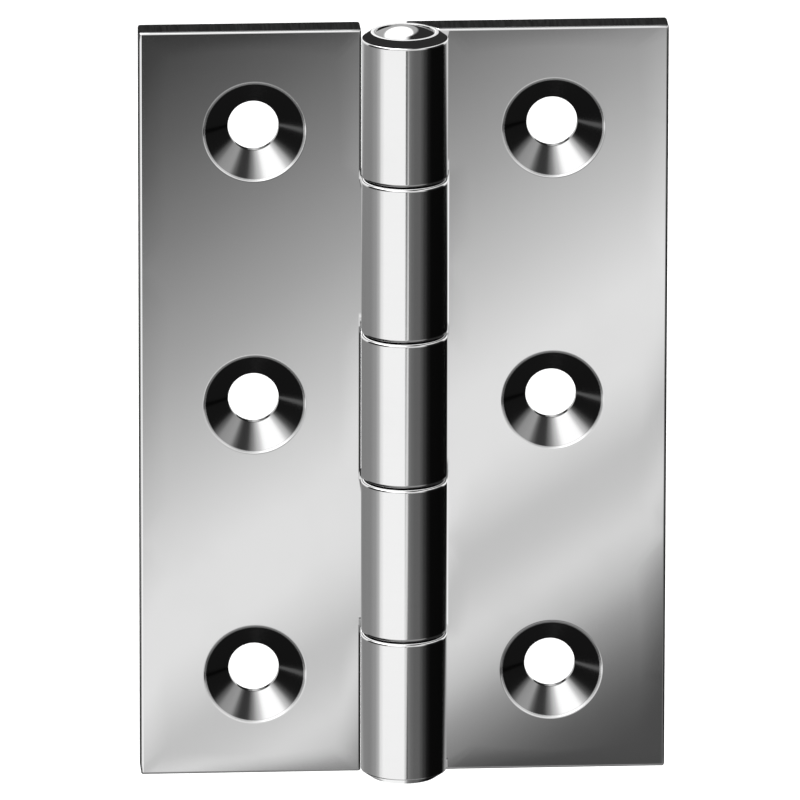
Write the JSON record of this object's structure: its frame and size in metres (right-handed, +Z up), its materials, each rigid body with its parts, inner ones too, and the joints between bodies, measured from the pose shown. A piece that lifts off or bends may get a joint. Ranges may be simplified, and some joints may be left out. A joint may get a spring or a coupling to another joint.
{
  "type": "door hinge",
  "caption": "Butt hinge opened flat: flat leaves with countersunk screw holes, joined by a plain barrel with a captive pin and domed ends.",
  "frame": {"origin": "on the hinge pin's axis, halfway up the hinge", "axes": "+Z up along the pin, -Y towards the front, where the countersinks and most of the barrel are, leaves along -X and +X"},
  "size_m": [0.052, 0.0084, 0.0772],
  "materials": {
    "left_leaf_metal": "polished",
    "right_leaf_metal": "polished",
    "pin_steel": "ground",
    "cap_metal": "polished"
  },
  "bodies": {
    "frame_side": {"right_leaf": "right_leaf_metal", "hinge_pin": "pin_steel", "top_end_cap": "cap_metal", "bottom_end_cap": "cap_metal"},
    "door_side": {"left_leaf": "left_leaf_metal"}
  },
  "joints": [
    {"name": "leaf_swing", "type": "hinge", "parent": "frame_side", "child": "door_side", "pos_m": [0, 0, 0], "axis": [0, 0, 1], "range_deg": [-90, 180]}
  ]
}
